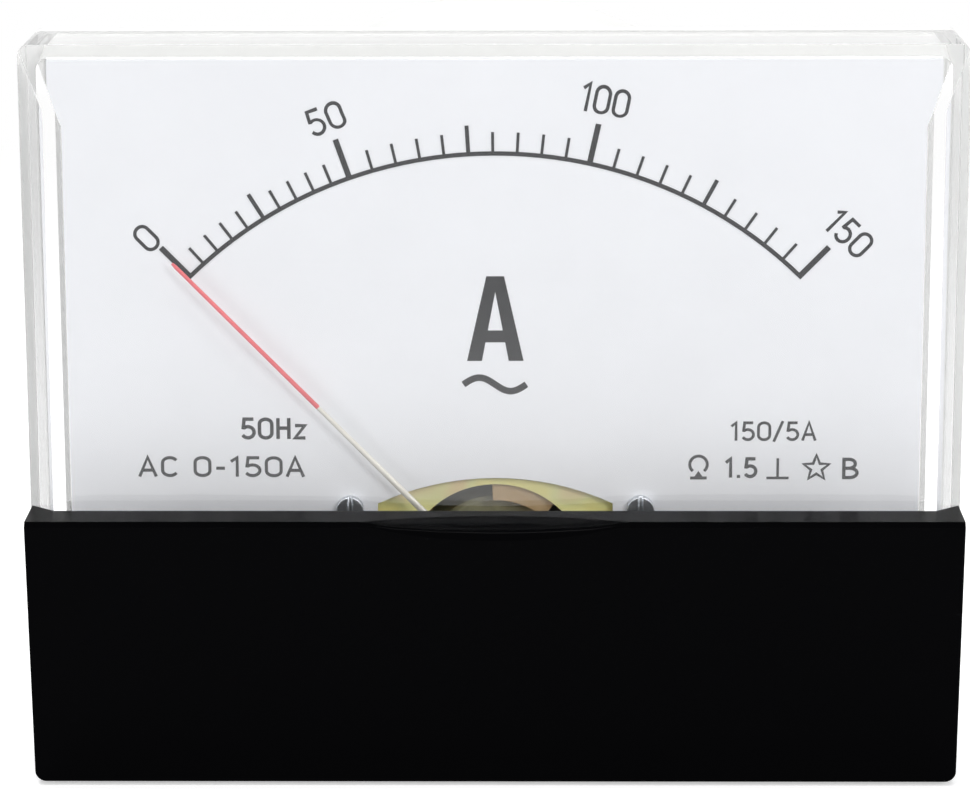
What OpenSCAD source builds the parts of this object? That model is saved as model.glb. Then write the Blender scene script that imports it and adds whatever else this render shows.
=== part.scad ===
// Panel meter with a clear moulded front, seen with X to the right, the face toward -Y and Z up.
// The origin lies on the barrel axis, in the plane where the case meets the panel.
// All sizes are in millimetres.

/* [Face] */
// Width of the face
face_w = 100; // [98:1:112]
// Height of the face
face_h = 80; // [79:1:88]
// Distance from the panel to the front of the window
face_d = 16; // [15.6:0.2:19]
// Thickness of the case flange
flange_t = 2.5; // [2:0.25:3.5]
// Corner radius of the face
corner_r = 1.2; // [0.6:0.2:1.6]

/* [Clear cover] */
// Wall of the clear cover
cover_wall = 1.8; // [1.4:0.2:2.2]
// Thickness of the window
window_t = 2; // [1.6:0.1:2.2]
// Height of the bevel along the top of the window
bevel_top = 6.7; // [4:0.5:8]
// Width of the bevel down each side of the window
bevel_side = 2.8; // [2:0.2:3.6]
// How far the bevels fall back from the window
bevel_d = 2.5; // [1.5:0.25:3.5]
// Distance from the sides of the face to the two cover screws
cover_screw_inset = 9.5; // [8:0.5:11]
// Height of the two cover screws, below the centre
cover_screw_drop = 17.5; // [17.5:0.5:19]
// Shank radius of the cover screws
cover_screw_r = 1.4; // [1.2:0.1:1.6]

/* [Trim] */
// Drop from the centre to the top of the black trim
trim_drop = 9.8; // [8:0.2:11]
// How far the top of the trim stands in front of the window
trim_stand = 5; // [4:0.25:6]
// How far the bottom of the trim stands in front of the window
trim_foot = 1.9; // [1.7:0.1:3]
// Wall of the trim
trim_wall = 1.6; // [1.2:0.1:1.8]
// Radius of the finger scallop in the trim
scallop_r = 100; // [70:5:140]
// Distance from the window to the back of the finger scallop
scallop_back = 2.1; // [1.6:0.1:3]
// Slope of the finger scallop
scallop_tilt = 25; // [15:1:30]
// Sideways place of the trim pegs
peg_x = 30; // [25:1:34]
// Radius of the trim pegs
peg_r = 1.5; // [1:0.1:2]
// Length of the trim pegs behind the window front
peg_l = 3; // [2.6:0.2:4]

/* [Case] */
// Outer diameter of the barrel
barrel_d = 76; // [75.5:0.5:77]
// Length of the barrel behind the panel
barrel_l = 45; // [44:1:55]
// Wall of the barrel
barrel_wall = 2.2; // [1.8:0.2:2.6]
// Thickness of the back wall
back_t = 2.5; // [2:0.25:3.5]
// Distance from the sides of the face to the mounting studs
stud_inset_x = 8; // [6.5:0.5:9]
// Distance from the top and bottom of the face to the mounting studs
stud_inset_z = 10; // [8:0.5:11]
// Radius of the mounting studs
stud_r = 1.5; // [1.25:0.25:2]
// Length of the mounting studs behind the panel
stud_l = 22; // [12:1:30]

/* [Dial] */
// Distance from the panel to the front of the dial
dial_d = 7.8; // [7.6:0.1:8.2]
// Thickness of the dial plate
dial_t = 0.8; // [0.5:0.1:1]
// Play between the dial and the clear cover
dial_gap = 0.6; // [0.4:0.1:1]
// Radius of the scale arc
scale_r = 46.9; // [43:0.5:47.5]
// Angle from upright to each end of the scale
scale_half = 44.3; // [41:0.1:45.5]
// Angle of the fifty mark, left of upright
fifty_angle = 19.3; // [15:0.1:25]
// Radius of the arch in the dial cut-out
arch_r = 30; // [26:1:36]
// Height of the arch above the pivot
arch_rise = 11.2; // [10.6:0.1:11.6]
// Half width of the arch
arch_half = 12.8; // [12.2:0.1:13]
// Sideways place of the dial screws
dial_screw_x = 15.8; // [15.8:0.1:16.6]
// Height of the dial screws above the pivot
dial_screw_rise = 7.8; // [7.7:0.1:8.6]

/* [Movement] */
// Drop from the centre to the pivot
pivot_drop = 19.3; // [18.6:0.1:19.6]
// Distance from the panel back to the movement frame
frame_back = 7.5; // [7.3:0.1:8.5]
// Thickness of the movement frame
frame_t = 1.6; // [1.2:0.1:2]
// Radius of the core
core_r = 8.1; // [7.8:0.1:8.3]
// Length of the core
core_l = 11; // [10.4:0.1:11.2]
// Gap between the dial and the front of the ring
ring_behind = 0.4; // [0.3:0.1:1]
// Clearance between the core and the coil former
core_gap = 0.4; // [0.3:0.05:0.5]
// Thickness of the coil former
former_t = 0.5; // [0.4:0.05:0.6]
// Thickness of the coil winding
winding_t = 0.7; // [0.5:0.05:0.8]
// Clearance between the coil and the ring
ring_gap = 0.5; // [0.4:0.05:0.6]
// Thickness of the yoke ring
ring_t = 5.3; // [5:0.1:5.4]
// Half width of the coil
coil_half = 2.2; // [1.8:0.1:2.3]
// Half angle of the brass spacers
spacer_half = 21; // [14:1:22]
// Turn of the coil and the spacers past the needle's square
coil_turn = 19; // [10:1:22]
// Radius of the pivot staffs
staff_r = 0.5; // [0.4:0.05:0.6]
// Height from the dial front to the needle
needle_lift = 1.9; // [1.7:0.05:2]
// Length of the needle from the pivot
needle_l = 49.2; // [47:0.2:51]
// Width of the needle at the tip
needle_tip_w = 0.5; // [0.3:0.05:0.7]
// Width of the needle at the root
needle_root_w = 0.9; // [0.7:0.05:1.1]
// Thickness of the needle
needle_t = 0.4; // [0.3:0.05:0.5]
// Reach of the balance arms
balance_reach = 5.6; // [5.2:0.1:5.8]
// Radius of the balance weights
weight_r = 0.8; // [0.6:0.05:0.85]
// Radius of the jewel screws
jewel_r = 1.5; // [1.3:0.1:1.6]
// Number of turns in each hairspring
spring_turns = 5; // [3:1:6]
// Thickness of the hairspring strip
spring_t = 0.16; // [0.12:0.02:0.2]
// Angle from upright to each pointer stop
stop_angle = 59; // [58.5:0.5:62]

/* [Zero setting] */
// Drop from the pivot to the zero adjuster
adjuster_drop = 11.2; // [11:0.1:12]
// Offset of the adjuster pin
adjuster_throw = 1; // [0.6:0.1:1.2]
// Radius of the adjuster pin
adjuster_pin_r = 0.6; // [0.5:0.05:0.7]

/* [Electrics] */
// Width of the transformer core
ct_w = 30; // [28:1:32]
// Height of the transformer core
ct_h = 25; // [23:1:27]
// Stack of the transformer core
ct_stack = 9; // [7:0.5:10]
// Height of the transformer centre above the barrel axis
ct_rise = 12; // [11:0.5:13]
// Width of the rectifier board
board_w = 46; // [44:1:48]
// Height of the rectifier board
board_h = 20; // [18:1:21]
// Thickness of the rectifier board
board_t = 1.4; // [1:0.1:1.6]
// Spacing of the terminals
terminal_s = 30; // [28:1:32]
// Drop from the barrel axis to the terminals
terminal_drop = 8; // [7:0.5:9]
// Radius of the terminal studs
terminal_r = 2.5; // [2:0.25:3]
// Length of the terminal studs behind the case
terminal_l = 16; // [14:1:20]

/* [Hidden] */
$fn = 96;
eps = 0.01;          // overlap of a cut beyond the face it opens
touch = 0.02;        // gap left between round faces that seat in one another
run = 0.05;          // radial clearance of a running fit
peg_clear = 0.06;    // radial clearance of the trim pegs
half_w = face_w / 2;
half_h = face_h / 2;

// Stations along Y, from the front of the meter to the back
y_window = -face_d;
y_window_in = y_window + window_t;
y_rim = y_window + bevel_d;
y_flange = -flange_t;
y_dial = -dial_d;
y_dial_back = y_dial + dial_t;
y_needle = y_dial - needle_lift;
bridge_t = 1;
bridge_clear = 0.4;
y_bridge = y_needle - weight_r - bridge_clear;
lever_t = 0.4;
anchor_t = 0.5;
nut_t = 0.7;
lock_nut_r = 2.7;
screw_past = 0.2;    // how far a jewel screw stands out of its nut
y_lever = y_bridge - bridge_t - lever_t;
y_core = frame_back - core_l;
y_ring = y_dial_back + ring_behind;
y_frame_end = frame_back + frame_t;
coil_end_gap = 0.7;
coil_end_t = 1.4;
y_coil_front = y_core - coil_end_gap - coil_end_t;
y_coil_rear = frame_back + coil_end_gap + coil_end_t;
spring_w = 0.6;
spring_step = 1.1;
y_spring_front = y_coil_front - spring_step - spring_w;
y_spring_rear = y_coil_rear + spring_step;
collet_r = 1.2;
collet_l = 1.2;
y_rear_bridge = y_spring_rear + spring_w + 0.9;
y_back_in = barrel_l - back_t;

// Trim
trim_inset = 0.2;    // trim is set in from the sides of the cover
trim_half = half_w - trim_inset;
trim_low = half_h - 0.4;
trim_edge = 0.5;     // chamfer along the top front edge
peg_edge = 1.6;      // trim wall to the pegs
y_trim_top = y_window - trim_stand;
y_trim_foot = y_window - trim_foot;

// Case
barrel_r = barrel_d / 2;
bore_r = barrel_r - barrel_wall;
lip_t = 1.2;
lip_l = 2;
lip_gap = 0.15;
post_r = 3;          // radius of the moulded pillars
boss_r = 4.5;
stud_head_r = stud_r * 2;
stud_collar_r = stud_r * 1.4;
stud_head_t = 1.4;
stud_x = half_w - stud_inset_x;
stud_z = half_h - stud_inset_z;
frame_hole_r = 1.2;
frame_hole_l = 8;
board_hole_l = 6;

// Cover screws
cover_screw_x = half_w - cover_screw_inset;
screw_head_t = 1.2;
cover_screw_l = 9;

// Movement, measured from the pivot axis
pivot_z = -pivot_drop;
former_r = core_r + core_gap;
winding_r = former_r + former_t;
coil_out_r = winding_r + winding_t;
ring_in_r = coil_out_r + ring_gap;
ring_out_r = ring_in_r + ring_t;
ring_mid_r = (ring_in_r + ring_out_r) / 2;
spacer_inset = 1;    // ends of the ring to the spacers
rest_angle = -scale_half;
coil_angle = rest_angle + coil_turn;
pillar_r = 1.6;
bridge_half_h = 2.6;
frame_screw_x = ring_out_r + 5.2;
dial_post_r = 1.9;
small_screw_r = 0.8;
small_head_r = 1.5;
small_head_t = 0.9;
dial_head_r = 1.5;
dial_head_t = 1.1;
dial_screw_l = 4;    // thread of the dial screws behind the dial
frame_screw_l = 6;   // thread of the frame screws behind the frame
frame_head_r = 2.4;
frame_head_t = 1.6;
bridge_screw_l = 2;
stop_sink = 1.8;
tip_r = staff_r * 0.6;
cup_r = tip_r + 0.12;
cup_l = 0.9;
hub_r = 1.4;
hub_l = 0.9;
jewel_gap = 0.4;     // hub to jewel screw
stop_r = 0.7;
stop_at = ring_in_r + stop_r + 0.2;
post_at = balance_reach + 1;
post_pin_r = 0.4;
lever_ring_r = 3.4;
anchor_half_w = 0.9;
fork_at = adjuster_drop + adjuster_throw;
fork_clear = 0.1;
fork_half_w = 1.6;
fork_past = 1.6;

// Zero adjuster
adjuster_z = pivot_z - adjuster_drop;
adjuster_head_r = 3.6;
adjuster_head_t = 1.2;
adjuster_sink = window_t / 2;
adjuster_shank_r = 2.5;
clip_r = 3.4;
clip_t = 0.5;

// Printing on the dial
print_t = 0.08;
line_w = 0.45;
major_l = 4.4;
major_w = 0.6;
medium_l = 3.1;
medium_w = 0.42;
minor_l = 2.3;
minor_w = 0.3;

// Cut-out in the dial behind the trim
cut_half = ring_mid_r + pillar_r + 0.9;
cut_top = pivot_z + 5;
cut_reach = 11;      // pivot to the bottom of the cut-out
dial_reach = 13.5;   // pivot to the bottom of the dial
cut_low = pivot_z - cut_reach;
dial_low = pivot_z - dial_reach;
dial_low_half = cover_screw_x - post_r - 3.5;
dial_step = pivot_z + 6.3;

// Transformer
ct_yoke_t = 5;       // iron above and below the windows
ct_side_w = 5;       // iron beside the windows
ct_window_w = 5;
ct_window_h = ct_h - 2 * ct_yoke_t;
ct_limb_w = ct_w - 2 * (ct_window_w + ct_side_w);
bobbin_gap = 0.2;
bobbin_t = 0.7;
secondary_t = 1.9;
primary_t = 1.4;
coil_build = bobbin_gap + bobbin_t + secondary_t + primary_t;
ct_back = coil_build + 0.6;
y_ct_end = y_back_in - ct_back;
y_ct = y_ct_end - ct_stack;
strap_t = 1;
strap_w = 8;
ct_foot = 7;
ct_hook = 4;         // strap folded over the front of the core
ct_screw_l = 3.5;
ct_head_r = 2.1;
ct_head_t = 1.3;
turn_pitch = 2.6;
turn_wire = 2;

// Board
board_back = 2;      // board to the transformer winding
y_board = y_ct - coil_build - board_back - board_t;
board_rise = ct_rise;
board_post_x = board_w / 2 - 3;
board_post_z = board_rise + board_h / 2 - 2.2;
diode_r = 1.3;
diode_l = 4.4;
diode_pitch = 4.4;
diode_x = -9;
wire_r = 0.35;
wire_out = 1.6;      // body end to the bend of the wire
resistor_r = 2.6;
resistor_l = 9;
resistor_x = 8;
resistor_rise = 3;
board_screw_l = 4;

// Terminals
terminal_x = terminal_s / 2;
terminal_z = -terminal_drop;
terminal_boss_r = 6.5;
terminal_boss_t = 1.5;
washer_t = 1;
terminal_nut_t = 4;
terminal_head_t = 2;
neck_l = 0.5;        // neck of the terminal studs, past the nuts
y_terminal_free = barrel_l + terminal_boss_t + washer_t + terminal_nut_t;

// Plane shape drawn as seen from the front, between two stations along Y
module slab(y0, y1) {
    translate([0, y1, 0]) rotate([90, 0, 0]) linear_extrude(y1 - y0) children();
}

// Round bar along Y
module rod(r, y0, y1, x = 0, z = 0) {
    translate([x, y1, z]) rotate([90, 0, 0]) cylinder(r = r, h = y1 - y0);
}

// Hexagon along Y
module hex_bar(r, y0, y1, x = 0, z = 0) {
    translate([x, y1, z]) rotate([90, 0, 0]) cylinder(r = r, h = y1 - y0, $fn = 6);
}

module at_pivot() {
    translate([0, 0, pivot_z]) children();
}

// Turned clockwise as seen from the front
module clockwise(a) {
    rotate([0, a, 0]) children();
}

module rounded_rect(w, h, r) {
    union() {
        square([w - 2 * r, h], center = true);
        square([w, h - 2 * r], center = true);
        for (sx = [-1, 1], sz = [-1, 1])
            translate([sx * (w / 2 - r), sz * (h / 2 - r)]) circle(r = r, $fn = 32);
    }
}

// Ring sector drawn from upright, seen from the front
module sector(r0, r1, a0, a1) {
    reach = r1 * 1.6;
    intersection() {
        difference() {
            circle(r = r1);
            circle(r = r0);
        }
        polygon([
            [0, 0],
            [reach * sin(a0), reach * cos(a0)],
            [reach * sin((a0 + a1) / 2), reach * cos((a0 + a1) / 2)],
            [reach * sin(a1), reach * cos(a1)]
        ]);
    }
}

// Screw with a slotted round head, its head toward the front
module slotted_screw(x, z, y_seat, head_r, head_t, shank_r, shank_l, slot_turn = 0) {
    difference() {
        union() {
            rod(head_r, y_seat - head_t, y_seat, x, z);
            rod(shank_r, y_seat, y_seat + shank_l, x, z);
        }
        translate([x, y_seat - head_t, z]) rotate([0, slot_turn, 0])
            cube([head_r * 2 + 1, head_t * 0.9, head_r * 0.35], center = true);
    }
}

// Block with a bevel along the top and down both sides of its front
module bevelled_block(hw, hh, y_back, y_bevel, y_front) {
    intersection() {
        translate([-hw, 0, 0]) rotate([90, 0, 90]) linear_extrude(2 * hw) polygon([
            [y_back, -hh],
            [y_back, hh],
            [y_bevel, hh],
            [y_front, hh - bevel_top],
            [y_front, -hh]
        ]);
        translate([0, 0, -hh]) linear_extrude(2 * hh) polygon([
            [-hw, y_back],
            [-hw, y_bevel],
            [-hw + bevel_side, y_front],
            [hw - bevel_side, y_front],
            [hw, y_bevel],
            [hw, y_back]
        ]);
        slab(y_front, y_back) rounded_rect(2 * hw, 2 * hh, corner_r);
    }
}

module cover_outside() {
    bevelled_block(half_w, half_h, y_flange, y_rim, y_window);
}

module peg_places() {
    from_edge = trim_wall + peg_edge + peg_r;
    for (sx = [-1, 1], z = [-trim_drop - from_edge, -trim_low + from_edge])
        translate([sx * peg_x, 0, z]) children();
}

module clear_cover() {
    color("lightcyan", 0.4) difference() {
        cover_outside();
        bevelled_block(half_w - cover_wall, half_h - cover_wall, y_flange + eps,
            y_window_in + bevel_d, y_window_in);
        for (sx = [-1, 1])
            rod(cover_screw_r + 0.2, y_window - eps, y_window_in + eps,
                sx * cover_screw_x, -cover_screw_drop);
        peg_places() rod(peg_r + peg_clear, y_window - eps, y_window_in + eps);
        rod(adjuster_shank_r + run, y_window - eps, y_window_in + eps, 0, adjuster_z);
        rod(adjuster_head_r + 0.2, y_window - eps, y_window + adjuster_sink, 0, adjuster_z);
    }
}

module trim_side(y_top, y_foot, z_top, z_low, edge) {
    polygon([
        [y_rim, z_low],
        [y_rim, z_top],
        [y_top + edge, z_top],
        [y_top, z_top - edge],
        [y_foot, z_low]
    ]);
}

module trim_outside() {
    intersection() {
        translate([-trim_half, 0, 0]) rotate([90, 0, 90]) linear_extrude(2 * trim_half)
            trim_side(y_trim_top, y_trim_foot, -trim_drop, -trim_low, trim_edge);
        slab(y_trim_top, y_rim) rounded_rect(2 * trim_half, 2 * trim_low, corner_r);
    }
}

module finger_scallop() {
    translate([0, y_window - scallop_back, -trim_drop]) rotate([scallop_tilt, 0, 0])
        translate([0, 0, scallop_r]) rotate([90, 0, 0])
            cylinder(r = scallop_r, h = 4 * trim_stand, center = true, $fn = 256);
}

module trim_cover() {
    inner_low = trim_low - trim_wall;
    inner_drop = trim_drop + trim_wall;
    color("black") union() {
        difference() {
            trim_outside();
            cover_outside();
            translate([-trim_half + trim_wall, 0, 0]) rotate([90, 0, 90])
                linear_extrude(2 * (trim_half - trim_wall))
                    trim_side(y_trim_top + trim_wall, y_trim_foot + trim_wall,
                        -inner_drop, -inner_low, trim_edge);
            finger_scallop();
        }
        intersection() {
            peg_places() rod(peg_r, y_trim_top, y_window + peg_l);
            union() {
                trim_outside();
                slab(y_window, y_window + peg_l) square([face_w, face_h], center = true);
            }
        }
    }
}

module cover_screws() {
    color("silver") for (sx = [-1, 1])
        slotted_screw(sx * cover_screw_x, -cover_screw_drop, y_window,
            cover_screw_r * 1.8, screw_head_t, cover_screw_r, cover_screw_l);
}

module stud_places() {
    for (sx = [-1, 1], sz = [-1, 1])
        translate([sx * stud_x, 0, sz * stud_z]) children();
}

module terminal_places() {
    for (sx = [-1, 1])
        translate([sx * terminal_x, 0, terminal_z]) children();
}

module board_places() {
    for (sx = [-1, 1])
        translate([sx * board_post_x, 0, board_post_z]) children();
}

module ct_places() {
    for (sx = [-1, 1])
        translate([sx * (ct_w / 2 + ct_foot / 2), 0, ct_rise]) children();
}

module frame_places() {
    for (sx = [-1, 1])
        translate([sx * frame_screw_x, 0, pivot_z]) children();
}

module barrel() {
    edge = 1;
    rotate([-90, 0, 0]) rotate_extrude($fn = 128) polygon([
        [0, y_back_in],
        [bore_r, y_back_in],
        [bore_r, y_flange],
        [barrel_r, y_flange],
        [barrel_r, barrel_l - edge],
        [barrel_r - edge, barrel_l],
        [0, barrel_l]
    ]);
}

module rear_case() {
    lip_w = face_w - 2 * (cover_wall + lip_gap);
    lip_h = face_h - 2 * (cover_wall + lip_gap);
    post_low_r = post_r - 0.4;
    color("ivory") difference() {
        union() {
            slab(y_flange, 0) difference() {
                rounded_rect(face_w, face_h, corner_r);
                circle(r = bore_r, $fn = 128);
            }
            barrel();
            slab(y_flange - lip_l, y_flange + eps) difference() {
                rounded_rect(lip_w, lip_h, corner_r);
                square([lip_w - 2 * lip_t, lip_h - 2 * lip_t], center = true);
            }
            for (sx = [-1, 1])
                rod(post_r, y_window_in, y_flange + eps, sx * cover_screw_x, -cover_screw_drop);
            stud_places() rod(boss_r, y_flange - stud_head_t, y_flange + eps);
            frame_places() rod(post_r, y_frame_end, y_back_in + eps);
            board_places() rod(post_low_r, y_board + board_t, y_back_in + eps);
            ct_places() rod(post_low_r, y_ct_end, y_back_in + eps);
            terminal_places() rod(terminal_boss_r, barrel_l - eps, barrel_l + terminal_boss_t);
        }
        for (sx = [-1, 1])
            rod(cover_screw_r + touch, y_window_in - eps, y_window + cover_screw_l + 1,
                sx * cover_screw_x, -cover_screw_drop);
        stud_places() rod(stud_collar_r + touch, y_flange - stud_head_t - eps, eps);
        stud_places() rod(stud_head_r + touch, y_flange - stud_head_t - eps, y_flange);
        frame_places() rod(frame_hole_r + touch, y_frame_end - eps, y_frame_end + frame_hole_l);
        board_places() rod(small_screw_r + touch, y_board + board_t - eps, y_board + board_t + board_hole_l);
        ct_places() rod(frame_hole_r + touch, y_ct_end - eps, y_back_in + back_t / 2);
        terminal_places() rod(terminal_r + touch, y_back_in - eps, barrel_l + terminal_boss_t + eps);
    }
}

module mounting_studs() {
    color("silver") stud_places() union() {
        rod(stud_head_r, y_flange - stud_head_t, y_flange);
        rod(stud_collar_r, y_flange - eps, 0);
        rod(stud_r, -eps, stud_l);
    }
}

module dial_outline() {
    half = half_w - cover_wall - dial_gap;
    top = half_h - cover_wall - dial_gap;
    polygon([
        [-half, top],
        [half, top],
        [half, dial_step],
        [dial_low_half, dial_step],
        [dial_low_half, dial_low],
        [-dial_low_half, dial_low],
        [-dial_low_half, dial_step],
        [-half, dial_step]
    ]);
}

module dial_plate() {
    color("white") slab(y_dial, y_dial_back) difference() {
        dial_outline();
        intersection() {
            translate([0, pivot_z + arch_rise - arch_r]) circle(r = arch_r, $fn = 128);
            translate([-arch_half, cut_top - 1]) square([2 * arch_half, arch_rise]);
        }
        translate([-cut_half, cut_low]) square([2 * cut_half, cut_top - cut_low]);
        for (sx = [-1, 1])
            translate([sx * dial_screw_x, pivot_z + dial_screw_rise]) circle(r = small_screw_r + 0.1);
    }
}

function scale_angle(v) = v <= 50
    ? -scale_half + (scale_half - fifty_angle) * v / 50
    : -fifty_angle + (scale_half + fifty_angle) * (v - 50) / 100;

module tick(v) {
    major = v % 50 == 0;
    medium = v % 25 == 0;
    long = major ? major_l : medium ? medium_l : minor_l;
    wide = major ? major_w : medium ? medium_w : minor_w;
    rotate(-scale_angle(v)) translate([-wide / 2, scale_r]) square([wide, long]);
}

module dial_scale() {
    end_half = asin(major_w / 2 / scale_r);
    color("dimgray") at_pivot() slab(y_dial - print_t, y_dial) union() {
        sector(scale_r - line_w / 2, scale_r + line_w / 2, -scale_half - end_half, scale_half + end_half);
        for (v = [0:5:150]) tick(v);
    }
}

module dial_posts() {
    color("silver") at_pivot() for (sx = [-1, 1]) difference() {
        rod(dial_post_r, y_dial_back, frame_back, sx * dial_screw_x, dial_screw_rise);
        rod(small_screw_r + touch, y_dial_back - eps, y_dial_back + dial_screw_l + 1,
            sx * dial_screw_x, dial_screw_rise);
    }
}

module dial_screws() {
    color("silver") at_pivot() for (sx = [-1, 1])
        slotted_screw(sx * dial_screw_x, dial_screw_rise, y_dial, dial_head_r, dial_head_t,
            small_screw_r, dial_t + dial_screw_l, 90);
}

module pointer() {
    y0 = y_needle - needle_t / 2;
    y1 = y_needle + needle_t / 2;
    arm_w = 0.7;
    color("indianred") at_pivot() clockwise(rest_angle) difference() {
        union() {
            slab(y0, y1) union() {
                polygon([
                    [-needle_root_w / 2, 0],
                    [-needle_tip_w / 2, needle_l],
                    [needle_tip_w / 2, needle_l],
                    [needle_root_w / 2, 0]
                ]);
                translate([-balance_reach, -arm_w / 2]) square([2 * balance_reach, arm_w]);
                translate([-arm_w / 2, -balance_reach]) square([arm_w, balance_reach]);
            }
            rod(hub_r, y_needle - hub_l / 2, y_needle + hub_l / 2);
        }
        rod(staff_r + touch, y_needle - hub_l, y_needle + hub_l);
    }
}

module balance_weights() {
    weight_l = 1.8;
    hole = needle_t / 2 + touch;
    color("gold") at_pivot() clockwise(rest_angle) for (a = [90, 180, 270])
        rotate([0, a, 0]) translate([0, y_needle, balance_reach - 0.4 - weight_l]) difference() {
            cylinder(r = weight_r, h = weight_l, $fn = 48);
            translate([-0.35 - touch, -hole, -eps]) cube([0.7 + 2 * touch, 2 * hole, weight_l + 2 * eps]);
        }
}

module yoke_ring() {
    color("goldenrod") at_pivot() difference() {
        rod(ring_out_r, y_ring, frame_back);
        rod(ring_in_r, y_ring - eps, frame_back + eps);
        for (sx = [-1, 1]) {
            rod(small_screw_r + touch, y_ring - eps, y_ring + bridge_screw_l + 1, sx * ring_mid_r);
            clockwise(sx * stop_angle)
                rod(stop_r + touch, y_ring - eps, y_ring + stop_sink + 0.2, 0, stop_at);
        }
    }
}

module core_magnet() {
    edge = 0.4;
    color("dimgray") at_pivot() translate([0, y_core, 0]) rotate([-90, 0, 0]) rotate_extrude() polygon([
        [0, 0],
        [core_r - edge, 0],
        [core_r, edge],
        [core_r, core_l - edge],
        [core_r - edge, core_l],
        [0, core_l]
    ]);
}

module core_spacers() {
    color("peru") at_pivot() for (a = [coil_turn, coil_turn + 180])
        slab(y_ring + spacer_inset, frame_back - spacer_inset)
            sector(core_r + touch, ring_in_r - touch, a - spacer_half, a + spacer_half);
}

module movement_frame() {
    ear_r = 3.2;
    color("goldenrod") at_pivot() slab(frame_back, y_frame_end) difference() {
        union() {
            circle(r = ring_out_r + 0.3);
            square([2 * frame_screw_x, 2 * ear_r], center = true);
            for (sx = [-1, 1]) {
                translate([sx * frame_screw_x, 0]) circle(r = ear_r);
                translate([sx * dial_screw_x, dial_screw_rise]) circle(r = dial_post_r + 0.6);
            }
        }
        circle(r = ring_in_r);
        for (sx = [-1, 1])
            translate([sx * frame_screw_x, 0]) circle(r = frame_hole_r + 0.15);
    }
}

module movement_screws() {
    color("silver") at_pivot() for (sx = [-1, 1])
        slotted_screw(sx * frame_screw_x, 0, frame_back, frame_head_r, frame_head_t,
            frame_hole_r, frame_t + frame_screw_l);
}

module bridge_bar() {
    difference() {
        union() {
            square([2 * ring_mid_r, 2 * bridge_half_h], center = true);
            for (sx = [-1, 1])
                translate([sx * ring_mid_r, 0]) circle(r = bridge_half_h);
            circle(r = lever_ring_r);
        }
        circle(r = jewel_r + touch);
        for (sx = [-1, 1])
            translate([sx * ring_mid_r, 0]) circle(r = small_screw_r + 0.1);
    }
}

module front_bridge() {
    color("peru") at_pivot() slab(y_bridge - bridge_t, y_bridge) bridge_bar();
}

module rear_bridge() {
    color("peru") at_pivot() slab(y_rear_bridge, y_rear_bridge + bridge_t) bridge_bar();
}

module bridge_pillars() {
    screw_l = bridge_screw_l + 1;
    color("silver") at_pivot() for (sx = [-1, 1]) {
        difference() {
            rod(pillar_r, y_bridge, y_ring, sx * ring_mid_r);
            rod(small_screw_r + touch, y_bridge - eps, y_bridge + screw_l, sx * ring_mid_r);
        }
        difference() {
            rod(pillar_r, y_frame_end, y_rear_bridge, sx * ring_mid_r);
            rod(small_screw_r + touch, y_rear_bridge - screw_l, y_rear_bridge + eps, sx * ring_mid_r);
        }
    }
}

module bridge_screws() {
    screw_l = bridge_t + bridge_screw_l;
    color("silver") at_pivot() for (sx = [-1, 1]) {
        slotted_screw(sx * ring_mid_r, 0, y_bridge - bridge_t, small_head_r, small_head_t,
            small_screw_r, screw_l);
        rotate([0, 0, 180]) slotted_screw(sx * ring_mid_r, 0, -y_rear_bridge - bridge_t,
            small_head_r, small_head_t, small_screw_r, screw_l);
    }
}

// Bearing screw with a cup for the pivot, its cup end at y_cup
module jewel_screw(y_cup, y_out) {
    dir = sign(y_out - y_cup);
    y0 = min(y_cup, y_out);
    y1 = max(y_cup, y_out);
    cup_end = y_cup + dir * cup_l;
    difference() {
        rod(jewel_r, y0, y1);
        rod(cup_r, min(y_cup - dir * eps, cup_end), max(y_cup - dir * eps, cup_end));
        translate([0, y_out, 0]) cube([jewel_r * 2 + 1, 0.7, 0.5], center = true);
    }
}

y_cup_front = y_needle - hub_l / 2 - jewel_gap;
y_cup_rear = y_rear_bridge - jewel_gap;
y_nut_front = y_lever - nut_t;
y_anchor_end = y_rear_bridge + bridge_t + anchor_t;
y_nut_rear = y_anchor_end + nut_t;

module jewel_screws() {
    color("gold") at_pivot() {
        jewel_screw(y_cup_front, y_nut_front - screw_past);
        jewel_screw(y_cup_rear, y_nut_rear + screw_past);
    }
}

module lock_nut(y0, y1) {
    difference() {
        hex_bar(lock_nut_r, y0, y1);
        rod(jewel_r + touch, y0 - eps, y1 + eps);
    }
}

module jewel_nuts() {
    color("gold") at_pivot() {
        lock_nut(y_nut_front, y_lever);
        lock_nut(y_anchor_end, y_nut_rear);
    }
}

// Frame of the coil: two limbs along the core and two ends across it
module coil_frame(r_in, r_out, half, y0, y1, end_t) {
    union() {
        for (s = [-1, 1])
            translate([s > 0 ? r_in : -r_out, y0, -half]) cube([r_out - r_in, y1 - y0, 2 * half]);
        translate([-r_out, y0, -half]) cube([2 * r_out, end_t, 2 * half]);
        translate([-r_out, y1 - end_t, -half]) cube([2 * r_out, end_t, 2 * half]);
    }
}

module coil_former() {
    color("silver") at_pivot() clockwise(coil_angle) coil_frame(former_r, winding_r, coil_half,
        y_coil_front + winding_t, y_coil_rear - winding_t, former_t);
}

module coil_winding() {
    half = coil_half - 0.3;
    color("chocolate") at_pivot() clockwise(coil_angle) coil_frame(winding_r, coil_out_r, half,
        y_coil_front, y_coil_rear, winding_t);
}

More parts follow.
